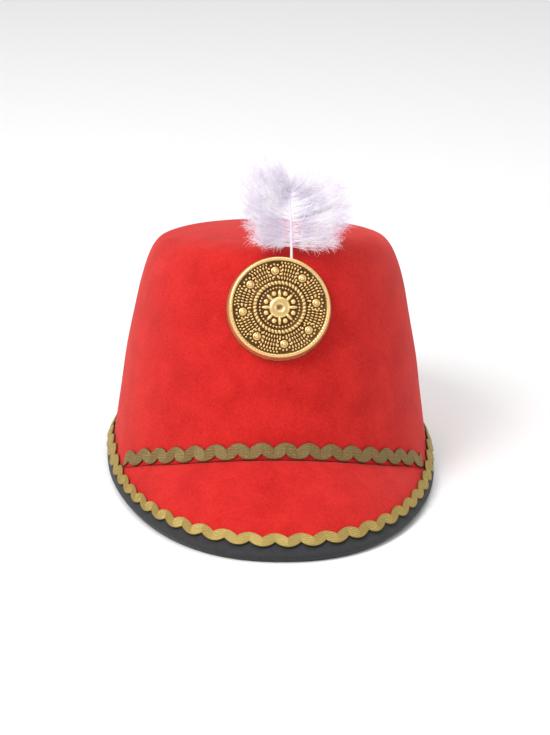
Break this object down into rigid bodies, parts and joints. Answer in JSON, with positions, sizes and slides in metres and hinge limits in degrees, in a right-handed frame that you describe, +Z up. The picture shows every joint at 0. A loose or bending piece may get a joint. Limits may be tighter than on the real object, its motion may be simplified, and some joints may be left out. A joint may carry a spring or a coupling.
{
  "type": "majorette hat",
  "caption": "Red felt majorette hat with a sloping peak, black tape edge, gold wavy braid, a round gilt medallion and a white down plume",
  "frame": {"origin": "on the floor under the middle of the hat's box, so Z = 0 is the flat edge that it rests on", "axes": "+Z up, +Y from the peak in front to the back of the crown, +X to the right when one looks at the front"},
  "size_m": [0.188, 0.2596, 0.1833],
  "materials": {
    "felt": "matt pressed red felt",
    "tape": "black woven tape",
    "braid": "gold lurex wavy braid",
    "gilt": "gilt moulded plastic with dark crevices",
    "down": "white down"
  },
  "bodies": {
    "root": {"crown": "felt", "peak": "felt", "edge_binding": "tape", "crown_braid": "braid", "edge_braid": "braid", "medallion": "gilt", "plume": "down"}
  },
  "joints": []
}
